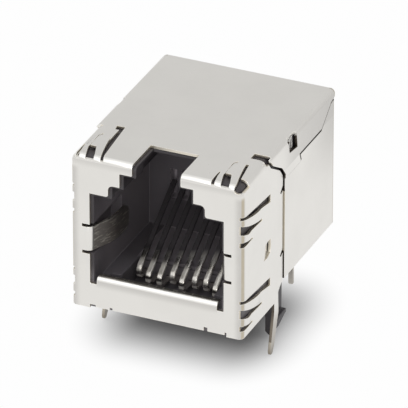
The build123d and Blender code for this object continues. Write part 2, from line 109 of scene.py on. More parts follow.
HOOKS_BACK = 9.0                     # its wide part between two hooks
HOOKS_UP = (4.1, 9.8)
TOOTH_ACROSS = (6.6, SIDE - 0.27)    # tooth bent in behind each flap's window
TOOTH_BACK = (9.0, 11.3)
TOOTH_UP = (12.6, 14.12)
LEG_UP = (-2.2, -0.4)                # solder legs and their tips
LEG_TIP_UP = (-4.6, -3.6)
SPRING_HALF = 6.0                    # springs inside the port
SPRING_BACK = (0.4, 8.0)
SPRING_UP = 9.0

# Where the mouldings' tones lie
FLOOR_LIGHT_BACK = (4.5, 7.5)             # painted light on the port floor near the front
FLOOR_LIGHT_UP = (2.6, 4.2)
INSIDE_HALF = 7.2                    # inside of the port
INSIDE_BACK = 0.28
INSIDE_FOOT = 2.0
INSIDE_UP = (10.2, 12.0)
WALL_HALF = 5.8                      # its side walls
WALL_BACK = (1.0, 4.0)
TRENCH_HALF = 4.4                    # trench under the contact arms
TRENCH_UP = (0.4, 2.4)
TRENCH_BACK = (5.4, 7.0)
TRENCH_END = 12.6
SLOTS_BACK = 11.63                   # slots for the contacts' ends

# Where the wires' tones lie
SOLDER_UP = (-0.2, 0.5)              # tinned tails
ARM_FOOT = 2.2                       # contact arms, above their noses
ARM_DARK_BACK = (4.9, 7.2)
ARM_DARK_ACROSS = (-3.5, 3.0)
ARM_START_BACK = (4.7, 5.3)
ARM_DIM_BACK = (5.4, 6.8)
WIPED_BACK = (4.8, 5.5)              # noses wiped by plugs
WIPED_UP = (1.75, 2.0)
NOSE_FOOT_BACK = 4.8                 # underside of the noses
NOSE_FOOT_UP = (1.15, 1.3)
NOSE_FOOT_END_UP = (1.45, 1.6)


def arc_corners(corners, radii, steps=14):
    """A path of straight runs joined by arcs of so many steps to the radian, as an array of points.

    At each inner corner with unit directions a (in) and b (out) and turn t, the arc of radius r starts at
    corner - a * r tan(t/2), and a point at angle s is start + a * r sin(s) + n * r (1 - cos(s)), where n is
    the unit vector square to a on the side of b.
    """
    points = [np.asarray(corners[0], float)[None, :]]
    for before, corner, after, radius in zip(corners, corners[1:], corners[2:], radii):
        before, corner, after = (np.asarray(p, float) for p in (before, corner, after))
        way_in = (corner - before) / np.linalg.norm(corner - before)
        way_out = (after - corner) / np.linalg.norm(after - corner)
        turn = math.acos(float(np.clip(way_in @ way_out, -1, 1)))
        side = way_out - (way_out @ way_in) * way_in
        side /= np.linalg.norm(side)
        start = corner - way_in * radius * math.tan(turn / 2)
        angle = np.linspace(0, turn, max(3, int(steps * turn)))[:, None]
        points.append(start + radius * (np.sin(angle) * way_in + (1 - np.cos(angle)) * side))
    points.append(np.asarray(corners[-1], float)[None, :])
    return np.vstack(points)


def swept_wire(path, width, thickness, power, tip, around=20):
    """A wire of rounded rectangular section carried along a path, as vertices and faces.

    The section is the superellipse |u/a|^p + |v/b|^p = 1, with u across the jack and v square to the path.
    Near both ends the section shrinks as sqrt(1 - (1 - s/tip)^2), so that the ends are domed. The last ring
    keeps a fiftieth of its size.
    """
    step = np.linalg.norm(np.diff(path, axis=0), axis=1)
    along = np.concatenate([[0], np.cumsum(step)])
    near_ends = tip * (1 - np.cos(np.linspace(0, math.pi / 2, 6)))
    stations = np.unique(np.concatenate([near_ends, along, along[-1] - near_ends]))
    centre = np.stack([np.interp(stations, along, path[:, k]) for k in range(3)], axis=1)
    tangent = np.gradient(centre, stations, axis=0)
    tangent /= np.linalg.norm(tangent, axis=1)[:, None]
    across = np.array([1.0, 0, 0]) - tangent * tangent[:, :1]
    across /= np.linalg.norm(across, axis=1)[:, None]
    over = np.cross(tangent, across)
    to_end = np.minimum(stations, along[-1] - stations)
    shrink = np.sqrt(np.clip(1 - (1 - np.clip(to_end / tip, 0, 1)) ** 2, 0.0004, 1))
    angle = np.linspace(0, 2 * math.pi, around, endpoint=False)
    u = np.sign(np.cos(angle)) * np.abs(np.cos(angle)) ** (2 / power) * width / 2
    v = np.sign(np.sin(angle)) * np.abs(np.sin(angle)) ** (2 / power) * thickness / 2
    ring = across[:, None, :] * u[None, :, None] + over[:, None, :] * v[None, :, None]
    points = centre[:, None, :] + ring * shrink[:, None, None]
    return points.reshape(-1, 3), tube_faces(len(stations), around)


def tube_faces(rows, around):
    """Quads of a tube of rings, with a fan closed at each end."""
    row, col = np.meshgrid(np.arange(rows - 1), np.arange(around), indexing="ij")
    after = (col + 1) % around
    quads = np.stack([row * around + col, row * around + after,
                      (row + 1) * around + after, (row + 1) * around + col], axis=-1)
    first = list(range(around))[::-1]
    last = list(range((rows - 1) * around, rows * around))
    return [list(map(int, quad)) for quad in quads.reshape(-1, 4)] + [first, last]


def mesh_piece(name, points, faces):
    """A new smooth-shaded piece from points and faces, with its faces turned outwards."""
    mesh = bpy.data.meshes.new(name)
    mesh.from_pydata(points.tolist(), [], faces)
    made = bmesh.new()
    made.from_mesh(mesh)
    bmesh.ops.recalc_face_normals(made, faces=made.faces)
    made.to_mesh(mesh)
    made.free()
    mesh.shade_smooth()
    piece = bpy.data.objects.new(name, mesh)
    bpy.context.scene.collection.objects.link(piece)
    return piece


def softened_copy(node, name, radius):
    """A copy of a CAD node with its loose triangles merged and each sharp edge rounded over by a radius."""
    sharp_angle = math.radians(40)
    flat_angle = math.radians(0.5)
    mesh = NODES[node].data.copy()
    mesh.name = name
    made = bmesh.new()
    made.from_mesh(mesh)
    bmesh.ops.remove_doubles(made, verts=made.verts, dist=0.0005 * MM)
    bmesh.ops.dissolve_limit(made, angle_limit=flat_angle, verts=made.verts, edges=made.edges)
    made.to_mesh(mesh)
    made.free()
    mesh.shade_smooth()
    piece = bpy.data.objects.new(name, mesh)
    bpy.context.scene.collection.objects.link(piece)
    bevel = piece.modifiers.new("Rounded edges", "BEVEL")
    bevel.width = radius
    bevel.segments = 2
    bevel.limit_method = "ANGLE"
    bevel.angle_limit = sharp_angle
    bevel.use_clamp_overlap = True
    even = piece.modifiers.new("Flat faces stay flat", "WEIGHTED_NORMAL")
    even.mode = "FACE_AREA"
    even.weight = 50
    even.keep_sharp = False
    return piece


class Signal:
    """A number carried by a shader socket. Arithmetic on it adds Math nodes."""

    def __init__(self, graph, socket):
        self.graph = graph
        self.socket = socket

    def __add__(self, other):
        return self.graph.maths("ADD", self, other)

    def __sub__(self, other):
        return self.graph.maths("SUBTRACT", self, other)

    def __rsub__(self, other):
        return self.graph.maths("SUBTRACT", other, self)

    def __mul__(self, other):
        return self.graph.maths("MULTIPLY", self, other)

    def __truediv__(self, other):
        return self.graph.maths("DIVIDE", self, other)

    def __gt__(self, other):
        return self.graph.maths("GREATER_THAN", self, other)

    def __lt__(self, other):
        return self.graph.maths("LESS_THAN", self, other)

    def __abs__(self):
        return self.graph.maths("ABSOLUTE", self)

    __radd__ = __add__
    __rmul__ = __mul__


class Graph:
    """A material's or a world's nodes, added in the order in which they are written."""

    def __init__(self, name, blocks=None):
        self.block = (bpy.data.materials if blocks is None else blocks).new(name)
        self.block.use_nodes = True
        self.tree = self.block.node_tree
        self.tree.nodes.clear()

    def add(self, kind, settings=None, inputs=None):
        """Adds a node: its settings first, then values or links for its sockets."""
        node = self.tree.nodes.new(kind)
        for name, value in (settings or {}).items():
            setattr(node, name, value)
        for key, value in (inputs or {}).items():
            self.feed(node.inputs[key], value)
        return node

    def feed(self, socket, value):
        """Links a signal or a socket, or sets a plain value."""
        if isinstance(value, Signal):
            value = value.socket
        if isinstance(value, bpy.types.NodeSocket):
            self.tree.links.new(value, socket)
        elif value is not None:
            socket.default_value = value

    def out(self, node, key=0):
        return Signal(self, node.outputs[key])

    def maths(self, operation, *values):
        node = self.add("ShaderNodeMath", {"operation": operation}, dict(enumerate(values)))
        return self.out(node)

    def ramp(self, value, low, high, to_low=0.0, to_high=1.0):
        """Maps low..high onto to_low..to_high, clamped, with a smooth step."""
        node = self.add("ShaderNodeMapRange", {"interpolation_type": "SMOOTHSTEP"},
                        {"Value": value, "From Min": low, "From Max": high,
                         "To Min": to_low, "To Max": to_high})
        return self.out(node, "Result")

    def fall(self, value, low, high):
        """One up to low, then smoothly down to nought at high."""
        return 1.0 - self.ramp(value, low, high)

    def between(self, value, low, high):
        """One between two limits, else nought."""
        return (value > low) * (value < high)

    def blend(self, factor, first, second):
        """A colour between two colours."""
        node = self.add("ShaderNodeMix", {"data_type": "RGBA"}, {0: factor, 6: first, 7: second})
        return node.outputs[2]

    def tint(self, colour, tone, mask, share=1.0):
        """A colour with a share of a look's tone laid over it inside a mask."""
        return self.blend(mask if share == 1.0 else mask * share, colour, (*tone, 1))

    def cloudy(self, clouds, low, high, tone, shade):
        """A look's tone with its darker shade where the clouds are thick."""
        return self.blend(self.ramp(clouds, low, high), (*tone, 1), (*shade, 1))

    def place(self):
        """Object coordinates as a vector socket."""
        return self.add("ShaderNodeTexCoord").outputs["Object"]

    def axes(self, vector):
        """The three parts of a vector."""
        node = self.add("ShaderNodeSeparateXYZ", None, {0: vector})
        return [self.out(node, key) for key in range(3)]

    def on_jack(self):
        """Place in millimetres: across from the middle, back from the front face and up from the board."""
        x, y, z = self.axes(self.place())
        return x / MM, (y - FRONT) / MM, z / MM

    def stretched(self, scale):
        """Object coordinates stretched by a different scale along each axis."""
        node = self.add("ShaderNodeMapping", None, {"Vector": self.place(), "Scale": scale})
        return node.outputs[0]

    def noise(self, vector, scale, detail=3.0, rough=0.5):
        node = self.add("ShaderNodeTexNoise", None,
                        {"Vector": vector, "Scale": scale, "Detail": detail, "Roughness": rough})
        return self.out(node, "Fac")

    def sharp(self, radius):
        """One along sharp outer edges: where the normal turns within the radius."""
        soft = self.add("ShaderNodeBevel", {"samples": 6}, {"Radius": radius})
        flat = self.add("ShaderNodeNewGeometry")
        turn = self.add("ShaderNodeVectorMath", {"operation": "DOT_PRODUCT"},
                        {0: soft.outputs[0], 1: flat.outputs["Normal"]})
        return self.fall(self.out(turn, "Value"), 0.80, 0.97)

    def finish(self, colour, roughness, metallic, height, depth, edge_radius):
        """The shader with its bump over softly rounded edges, and the output."""
        edge = self.add("ShaderNodeBevel", {"samples": 6}, {"Radius": edge_radius})
        bump = self.add("ShaderNodeBump", None,
                        {"Strength": 1.0, "Distance": depth, "Height": height, "Normal": edge.outputs[0]})
        shader = self.add("ShaderNodeBsdfPrincipled", None,
                          {"Base Color": colour, "Roughness": roughness, "Metallic": metallic,
                           "Normal": bump.outputs[0]})
        self.add("ShaderNodeOutputMaterial", None, {"Surface": shader.outputs[0]})
        return self.block


def cut_edge_mask(graph):
    """One on the sheared edges of the folded sheet and nought on its rolled faces.

    A point is in the front, top or side wall by its place, and its face is a sheared edge where its normal
    lies along that wall instead of across it.
    """
    across, back, up = graph.on_jack()
    wide = abs(across)
    along_wall = 0.3
    off_x, off_y, off_z = (abs(part) < along_wall
                           for part in graph.axes(graph.add("ShaderNodeNewGeometry").outputs["Normal"]))
    behind_fold = back > FOLD
    below_fold = up < TOP - FOLD
    within_folds = wide < SIDE - FOLD
    side_edges = (wide > SIDE - 2 * SHEET) * below_fold * behind_fold * off_x
    top_edges = (up > TOP - 1.5 * SHEET) * within_folds * behind_fold * off_z
    front_edges = (back < 1.5 * SHEET) * within_folds * below_fold * off_y
    return graph.maths("MINIMUM", side_edges + top_edges + front_edges, 1.0)


def bend_tones(graph, look, colour, mottle):
    """Painted shade on the upright bends with a thin painted shade line, painted shade under the lip and the
    top, and painted highlights on the bends over them.
    """
    across, back, up = graph.on_jack()
    wide = abs(across)
    on_lip = wide < LIP_HALF
    bend = graph.ramp(wide, *BEND_ACROSS) * graph.fall(back, *BEND_BACK) * graph.fall(up, *BEND_UP)
    bend = bend * (0.75 + mottle * 0.5)
    line = bend * (wide > BEND_LINE_ACROSS) * graph.between(back, *BEND_LINE_BACK)
    lip_shade = graph.ramp(up, *LIP_SHADE_UP) * (up < LIP_BEND_UP[0]) * on_lip
    top_shade = graph.ramp(up, *TOP_SHADE_UP) * (up < TOP_SHADE_END)
    shade = (lip_shade + top_shade * 0.6) * (back < SHADE_BACK)
    shine = graph.ramp(up, *LIP_BEND_UP) * (up < LIP_END_UP) * on_lip + graph.ramp(up, *TOP_BEND_UP)
    shine = graph.maths("MINIMUM", shine * graph.fall(back, *SHINE_BACK), 1.0)
    # Painted shade on the upright bends, and on the front face under the lip and under the top
    colour = graph.tint(colour, look.painted_bend_shade, bend)
    colour = graph.tint(colour, look.painted_bend_shade, shade, share=0.9)
    # Painted highlight on the lip's bend and on the top's front bend
    colour = graph.tint(colour, look.painted_highlight, shine)
    # Painted shade: a thin brown-grey line along each upright bend
    colour = graph.tint(colour, look.edge_colour, line, share=0.7)
    return graph.tint(colour, look.painted_line_shade, line, share=0.5)


def flap_tones(graph, look, colour):
    """Painted shade on the side flaps, and on the rear corners, growing upwards and backwards."""
    across, back, up = graph.on_jack()
    # Painted shade, growing towards the rear and the top
    flap = graph.ramp(back, *FLAP_START_BACK) * graph.ramp(back, *FLAP_RUN_BACK, to_low=0.55, to_high=0.95)
    corner = graph.ramp(back, *CORNER_BACK) * graph.ramp(up, *CORNER_UP) * 0.85
    flap_shade = graph.maths("MAXIMUM", flap * (up > FLAP_FOOT), corner)
    flap_shade = flap_shade * (abs(across) > FLAP_ACROSS) * graph.fall(up, *FLAP_FOLD_UP)
    return graph.tint(colour, look.painted_flap_shade, flap_shade)


def rim_tones(graph, look, colour):
    """Bright sheared rims with a painted highlight round the cut openings, painted shade on them beside the
    flaps' slits, and painted shade on the rear bends.
    """
    across, back, up = graph.on_jack()
    wide = abs(across)
    rim = graph.sharp(look.rim)
    beside_slit = (wide > SIDE - 0.1) * (back > SLIT_BACK) * (up > SLIT_UP)
    rear_bend = (wide > REAR_BEND_ACROSS) * (back > REAR_BEND_BACK) * (up > REAR_BEND_UP)
    # Bright sheared rims, lightened further with a painted highlight
    colour = graph.tint(colour, look.rim_edge_and_highlight, rim)
    # Painted shade on the rims beside the flaps' slits
    colour = graph.tint(colour, look.painted_seam_shade, rim * beside_slit, share=0.8)
    # Painted shade on the upright bends at the rear
    return graph.tint(colour, look.painted_line_shade, rear_bend, share=0.5)


def tinned_sheet(look):
    """Bright tin over rolled sheet: soft clouds, faint rolling lines and bare brassy sheared edges."""
    graph = Graph("tinned_sheet")
    clouds = graph.noise(graph.place(), scale=260.0, detail=4.0, rough=0.55)
    mottle = graph.noise(graph.place(), scale=2300.0, detail=3.0, rough=0.6)
    rolling = graph.noise(graph.stretched((16000.0, 700.0, 16000.0)), scale=1.0, detail=2.0, rough=0.5)
    specks = graph.ramp(graph.noise(graph.place(), scale=5200.0, detail=2.0, rough=0.5), 0.68, 0.8)
    edge = cut_edge_mask(graph)
    across, back, up = graph.on_jack()
    wide = abs(across)

    colour = graph.cloudy(clouds, 0.35, 0.7, look.colour, look.shade)
    colour = graph.tint(colour, look.fleck, specks, share=0.12)
    colour = bend_tones(graph, look, colour, mottle)
    colour = flap_tones(graph, look, colour)
    colour = rim_tones(graph, look, colour)
    colour = graph.tint(colour, look.edge_colour, edge, share=0.6)

    seam = edge * (wide > SIDE - 2 * SHEET) * (back > SEAM_BACK)
    wide_seam = seam * (back < HOOKS_BACK) * graph.between(up, *HOOKS_UP)
    tooth = graph.between(wide, *TOOTH_ACROSS) * graph.between(back, *TOOTH_BACK)
    tooth = tooth * graph.between(up, *TOOTH_UP)
    leg = graph.fall(up, *LEG_UP) * 0.55 + graph.fall(up, *LEG_TIP_UP) * 0.35
    # Painted shade on the sheared edges down in the seams behind the wings
    colour = graph.tint(colour, look.painted_seam_shade, seam)
    colour = graph.tint(colour, look.edge_colour, wide_seam)
    # Painted highlight on the tooth, which sits in shade behind its window
    colour = graph.tint(colour, look.painted_highlight, tooth)
    # Painted shade on the solder legs under the body, deepening towards their tips
    colour = graph.tint(colour, look.painted_leg_shade, leg)

    # Painted shade on the springs inside the port, broken by lighter streaks
    in_port = (wide < SPRING_HALF) * graph.between(back, *SPRING_BACK) * (up < SPRING_UP)
    scratches = graph.noise(graph.stretched((2500.0, 700.0, 6000.0)), scale=1.0, detail=3.0, rough=0.7)
    streaks = graph.ramp(scratches, 0.50, 0.66)
    spring = graph.blend(streaks, (*look.painted_spring_shade, 1), (*look.streak_colour, 1))
    colour = graph.blend(in_port * 0.85, colour, spring)

    roughness = look.roughness + clouds * 0.08 + mottle * 0.07 + edge * 0.12 + in_port * 0.15 - 0.075
    metallic = 1.0 - graph.maths("MINIMUM", wide_seam * 0.8 + tooth, 1.0)
    height = rolling * 0.6 + mottle * 0.8
    return graph.finish(colour, roughness, metallic, height, look.grain_depth, look.edge_radius)


def moulding(look, name, colour, shade):
    """Black moulded plastic with a fine eroded texture, with painted light on the port's floor near the
    front, on the port's walls and in its slots and trench.
    """
    graph = Graph(name)
    grain = graph.noise(graph.place(), scale=9000.0, detail=3.0, rough=0.6)
    clouds = graph.noise(graph.place(), scale=500.0, detail=3.0, rough=0.5)
    across, back, up = graph.on_jack()
    wide = abs(across)
    lit_floor = graph.fall(back, *FLOOR_LIGHT_BACK) * graph.fall(up, *FLOOR_LIGHT_UP) * (up > 0.0)
    inside = (wide < INSIDE_HALF) * (back > INSIDE_BACK) * (up > INSIDE_FOOT) * graph.fall(up, *INSIDE_UP)
    side_walls = inside * (wide > WALL_HALF) * graph.ramp(back, *WALL_BACK)
    trench = (wide < TRENCH_HALF) * graph.between(up, *TRENCH_UP)
    trench = trench * graph.ramp(back, *TRENCH_BACK) * (back < TRENCH_END)
    tone = graph.cloudy(clouds, 0.3, 0.75, colour, shade)
    # Painted light on the port's floor near the front, where it lies in shade
    tone = graph.tint(tone, look.painted_floor_light, lit_floor)
    # Painted light on the walls inside the port, lifting their shade
    tone = graph.tint(tone, look.painted_port_light, inside * (1.0 - lit_floor), share=0.75)
    # Painted light on the side walls, the trench and the slots deep in the port, where they lie in shade
    tone = graph.tint(tone, look.painted_slot_light, side_walls, share=0.5)
    tone = graph.tint(tone, look.painted_slot_light, trench)
    tone = graph.tint(tone, look.painted_slot_light, inside * (back > SLOTS_BACK))
    roughness = look.roughness + clouds * 0.1 + grain * 0.06 - 0.08
    return graph.finish(tone, roughness, 0.0, grain, look.grain_depth, look.edge_radius)


def plated_wire(look):
    """Plated spring wire: drawn along its length, bright at the wiped noses, with painted shade on the arms
    deep in the port and on the tinned tails.
    """
    graph = Graph("plated_wire")
    drawn = graph.noise(graph.stretched((20000.0, 900.0, 900.0)), scale=1.0, detail=2.0, rough=0.5)
    clouds = graph.noise(graph.place(), scale=1500.0, detail=3.0, rough=0.5)
    across, back, up = graph.on_jack()
    soldered = graph.fall(up, *SOLDER_UP)
    on_arm = up > ARM_FOOT
    dark = graph.ramp(back, *ARM_DARK_BACK) + graph.fall(across, *ARM_DARK_ACROSS) * 0.5
    dark = graph.maths("MINIMUM", dark * graph.ramp(back, *ARM_START_BACK), 1.0) * on_arm
    wiped = graph.fall(back, *WIPED_BACK) * graph.ramp(up, *WIPED_UP) * 0.55
    dim = graph.ramp(back, *ARM_DIM_BACK) * on_arm
    foot = graph.ramp(up, *NOSE_FOOT_UP) * graph.fall(up, *NOSE_FOOT_END_UP) * (back < NOSE_FOOT_BACK) * 0.7
    colour = graph.cloudy(clouds, 0.3, 0.7, look.colour, look.shade)
    # The tinned tails, darkened with painted shade from the body above
    colour = graph.tint(colour, look.tail_tin_and_shade, soldered, share=0.7)
    # Painted shade on the arms deep in the port
    colour = graph.tint(colour, look.painted_deep_shade, dark)
    metallic = graph.maths("MAXIMUM", 1.0 - dim - wiped - foot, 0.0)
    roughness = look.roughness + clouds * 0.08 + soldered * 0.12
    return graph.finish(colour, roughness, metallic, drawn, look.grain_depth, look.edge_radius)


def floor_finish(look):
    """A white floor whose shadow stays close under the jack, as the camera and the metal see it.

    With d the distance from a rectangle under the jack, x counted a third more than y, the share of plain
    white is a smooth step from 0 at d = 0 to 1 at d = reach.
    """
    graph = Graph("studio_floor")
    x, y = graph.axes(graph.place())[:2]
    half_x, half_y, middle = look.shadow_half
    beside = graph.maths("MAXIMUM", abs(x) - half_x * MM, 0.0) * 1.33
    before = graph.maths("MAXIMUM", abs(y - FRONT - middle * MM) - half_y * MM, 0.0)
    away = graph.maths("SQRT", beside * beside + before * before)
    path = graph.add("ShaderNodeLightPath")
    seen = graph.out(path, "Is Camera Ray") + graph.out(path, "Is Glossy Ray")
    seen = graph.maths("MINIMUM", seen + graph.out(path, "Is Transmission Ray"), 1.0)
    fade = graph.ramp(away, 0.0, look.shadow_reach) * seen
    colour = graph.blend(seen, (*look.floor_colour, 1), (*look.shadow_colour, 1))
    shade = graph.add("ShaderNodeBsdfDiffuse", None, {"Color": colour})
    white = graph.add("ShaderNodeEmission", None, {"Color": (1, 1, 1, 1), "Strength": look.white})
    mixed = graph.add("ShaderNodeMixShader", None, {0: fade, 1: shade.outputs[0], 2: white.outputs[0]})
    graph.add("ShaderNodeOutputMaterial", None, {"Surface": mixed.outputs[0]})
    return graph.block


def dress(piece, material):
    """Gives a piece its material and its body."""
    piece.data.materials.clear()
    piece.data.materials.append(material)
    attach(piece, "root")


def tone(name, description, colour):
    """A setting for a colour."""
    return FloatVectorProperty(name=name, description=description, subtype="COLOR",
                               size=3, min=0, max=1, default=colour)


def length(name, description, millimetres):
    """A setting for a small length."""
    return FloatProperty(name=name, description=description, unit="LENGTH",
                         min=0, default=millimetres * MM, precision=6)


def amount(name, description, value):
    """A setting between nought and one."""
    return FloatProperty(name=name, description=description, subtype="FACTOR", min=0, max=1, default=value)


class SheetLook(PropertyGroup):
    """Finish of the folded shield."""
    colour: tone("Tin", "Colour of the bright tin", (0.775, 0.758, 0.722))
    shade: tone("Tin shade", "Colour of the tin's darker clouds", (0.755, 0.738, 0.703))
    fleck: tone("Flecks", "Colour of small dull flecks", (0.62, 0.60, 0.57))
    edge_colour: tone("Sheared edge", "Colour of the bare sheared edges and of the seams where they are wide",
                      (0.72, 0.65, 0.52))
    # Painted shade down in the narrow seams and beside the flaps' slits
    painted_seam_shade: tone("Seam", "Painted shade down in the narrow seams", (0.10, 0.085, 0.07))
    # Painted shade: the thin lines along the front bends and the bends at the rear
    painted_line_shade: tone("Rear bends", "Painted brown shade on the bends at the rear and in the thin lines at the front",
                     (0.34, 0.29, 0.20))
    # Painted shade: the upright bends and the front face under the lip and the top are darkened in colour
    painted_bend_shade: tone("Bends", "Painted shade on the upright bends and under the lip and the top", (0.60, 0.583, 0.555))
    # Painted shade on the side flaps and the upper rear corners
    painted_flap_shade: tone("Flaps", "Painted shade on the side flaps and upper rear corners", (0.52, 0.505, 0.48))
    # Painted highlight: the lip's and the top's front bends and the teeth are lightened in colour
    painted_highlight: tone("Painted highlights", "Painted highlight on the bends before the port and the top, and on the teeth",
                       (0.97, 0.955, 0.92))
    # Painted shade on the solder legs
    painted_leg_shade: tone("Legs", "Painted shade on the solder legs, deepening towards their tips", (0.30, 0.26, 0.21))
    # Bright sheared edges with a painted highlight along the sharp edges
    rim_edge_and_highlight: tone("Rims", "Bright sheared rims round the cut openings, with a painted highlight", (0.96, 0.94, 0.88))
    rim: length("Rim width", "Width of the bright rims", 0.16)
    streak_colour: tone("Spring streaks", "Colour of the streaks on the springs", (0.72, 0.68, 0.62))
    # Painted shade on the springs, which are the same tin as the rest
    painted_spring_shade: tone("Springs", "Painted shade on the springs inside the port", (0.27, 0.24, 0.22))
    roughness: amount("Roughness", "Roughness of the tin", 0.30)
    grain_depth: length("Grain depth", "Depth of the rolled grain", 0.004)
    edge_radius: length("Edge radius", "How far sheared edges look rounded", 0.05)
    break_edge: length("Broken edge", "Real rounding of the sheet's edges", 0.03)


class MouldingLook(PropertyGroup):
    """Finish of the housing and the contact carrier."""
    colour: tone("Housing", "Colour of the housing", (0.046, 0.040, 0.044))
    shade: tone("Housing shade", "Colour of the housing's darker clouds", (0.036, 0.031, 0.034))
    # Painted light on the port's floor near the front
    painted_floor_light: tone("Floor light", "Painted light on the port's floor near the front", (0.13, 0.12, 0.13))
    # Painted light on the walls inside the port
    painted_port_light: tone("Inside", "Painted light on the walls inside the port", (0.125, 0.112, 0.122))
    # Painted light in the slots and the trench, and half of it on the side walls
    painted_slot_light: tone("Slots", "Painted light in the contacts' slots and trench, and half of it on the side walls",
                      (0.30, 0.27, 0.29))
    insert_colour: tone("Carrier", "Colour of the contact carrier", (0.036, 0.033, 0.036))
    insert_shade: tone("Carrier shade", "Colour of the carrier's darker clouds", (0.030, 0.028, 0.030))
    roughness: amount("Roughness", "Roughness of the plastic", 0.48)
    grain_depth: length("Grain depth", "Depth of the moulded grain", 0.006)
    edge_radius: length("Edge radius", "How far moulded edges look rounded", 0.1)
    break_edge: length("Broken edge", "Real rounding of the moulded edges", 0.06)


class WireLook(PropertyGroup):
    """Size and finish of the contact wires."""
    colour: tone("Plating", "Colour of the plating", (0.86, 0.83, 0.78))
    shade: tone("Plating shade", "Colour of the plating's darker clouds", (0.78, 0.74, 0.67))
    # Tinned tails with painted shade from the body above
    tail_tin_and_shade: tone("Tails", "Tinned tails, darkened with painted shade from the body above", (0.46, 0.43, 0.39))
    # Painted shade on the arms deep in the port
    painted_deep_shade: tone("Deep ends", "Painted shade on the arms deep in the port", (0.055, 0.050, 0.053))
    roughness: amount("Roughness", "Roughness of the wires", 0.20)
    grain_depth: length("Grain depth", "Depth of the drawing lines", 0.002)
    edge_radius: length("Edge radius", "How far the wire's edges look rounded", 0.03)
    width: length("Width", "Width of each wire", 0.46)
    thickness: length("Thickness", "Thickness of each wire", 0.3)


# The photograph's size and lens in pixels, and the pixel that shows the foot of the front face's middle
PHOTO_SIZE = 408
PHOTO_LENS = 7176.54
FOOT_PIXEL = (156.654, 321.891)
SENSOR = 36                          # millimetres


class StudioLook(PropertyGroup):
    """Camera, lamps and floor."""
    azimuth: FloatProperty(name="Azimuth", description="Camera's turn round the jack", subtype="ANGLE",
                           default=math.radians(23.693))
    elevation: FloatProperty(name="Elevation", description="Camera's height angle", subtype="ANGLE",
                             default=math.radians(28.883))
    distance: FloatProperty(name="Distance", description="Camera to the jack", unit="LENGTH", default=0.6)
    lens: FloatProperty(name="Lens", description="Focal length in millimetres on a 36 mm sensor",
                        default=PHOTO_LENS / PHOTO_SIZE * SENSOR)
    floor_colour: tone("Floor", "Colour of the floor", (0.82, 0.82, 0.82))
    shadow_colour: tone("Shadow colour", "Colour that the floor's shadow shows", (0.55, 0.55, 0.55))
    shadow_half: FloatVectorProperty(name="Shadow", description="Half width, half depth and middle of the "
                                     "part of the floor that keeps its shadow, in millimetres", size=3,
                                     default=(4.3, 2.4, 10.5))
    shadow_reach: length("Shadow reach", "Distance over which the floor fades to white", 9.2)
    white: FloatProperty(name="White", description="Level of the white floor and backdrop", min=0,
                         default=0.99)
    sky: FloatProperty(name="Sky", description="Strength of the even light all round", min=0, default=0.97)
    sky_edge: amount("Sky edge", "Share of that light that comes evenly from all round", 0.35)
    key: FloatProperty(name="Key", description="Power of the soft key lamp", subtype="POWER", default=0.45)
    fill: FloatProperty(name="Fill", description="Power of the soft fill lamp", subtype="POWER", default=0.1)
    port: FloatProperty(name="Port", description="Power of the soft lamp before the port", subtype="POWER",
                        default=0.55)


# Where the wires run, in millimetres from the front face and the board, as the contacts are made
PEG_ROW = 9.4
CONTACT_PITCH = 1.02
TAIL_PITCH = 1.27
MIDDLE_NUMBER = 4.5                  # the eight contacts lie evenly on both sides of the middle
RUN_HEIGHT = 1.1
NOSE_RADIUS = 0.65
NOSE_PLACE = 4.72
ARM_ANGLE = math.radians(32.2)
ARM_END = 11.9
NOSE_STAGGER = 0.5
STAGGERED = (2, 3, 5, 8)
NEAR_TAIL_ROW = PEG_ROW + 6.35
TAIL_ROW_SPACING = 2.54
TAIL_RADIUS = 0.5
SPLAY_START = 7.0
SPLAY_END = 12.5
SPLAY_RADIUS = 0.4
TAIL_LENGTH = 4.8


def wire_path(number):
    """Points along one contact wire, in metres: arm, nose, lower run, splay and tail."""
    stagger = NOSE_STAGGER if number in STAGGERED else 0
    nose_z = RUN_HEIGHT + NOSE_RADIUS * (1 + math.cos(ARM_ANGLE))
    run_z = RUN_HEIGHT - stagger * math.sin(ARM_ANGLE)
    corner_y = NOSE_PLACE - (nose_z - run_z) / math.tan(ARM_ANGLE)
    end_z = nose_z + (ARM_END - NOSE_PLACE) * math.tan(ARM_ANGLE)
    x_arm = (number - MIDDLE_NUMBER) * CONTACT_PITCH
    x_tail = (number - MIDDLE_NUMBER) * TAIL_PITCH
    row = NEAR_TAIL_ROW + (TAIL_ROW_SPACING if number % 2 == 0 else 0)
    corners = [(x_arm, ARM_END, end_z), (x_arm, corner_y, run_z), (x_arm, SPLAY_START, run_z),
               (x_tail, SPLAY_END, run_z), (x_tail, row, run_z), (x_tail, row, -TAIL_LENGTH)]
    points = arc_corners(corners, [NOSE_RADIUS, SPLAY_RADIUS, SPLAY_RADIUS, TAIL_RADIUS])
    return (points - [0, PEG_ROW, 0]) * MM


class JACK_OT_dress_shield(Operator):
    """Covers the folded shield with tinned sheet and breaks its edges"""
    bl_idname = "jack.dress_shield"
    bl_label = "Dress the shield"

    def execute(self, context):
        look = context.scene.jack_sheet
        piece = softened_copy("shield", "shield_sheet", look.break_edge)
        dress(piece, tinned_sheet(look))
        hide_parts("shield")
        return {"FINISHED"}


class JACK_OT_dress_mouldings(Operator):
    """Covers the housing and the contact carrier with black plastic and breaks their edges"""
    bl_idname = "jack.dress_mouldings"
    bl_label = "Dress the mouldings"

    def execute(self, context):
        look = context.scene.jack_moulding
        rows = (("housing", "housing_moulding", "black_moulding", look.colour, look.shade),
                ("contact_carrier", "carrier_moulding", "insert_moulding", look.insert_colour,
                 look.insert_shade))
        for node, name, slot_name, colour, shade in rows:
            piece = softened_copy(node, name, look.break_edge)
            dress(piece, moulding(look, slot_name, colour, shade))
            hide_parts(node)
        return {"FINISHED"}


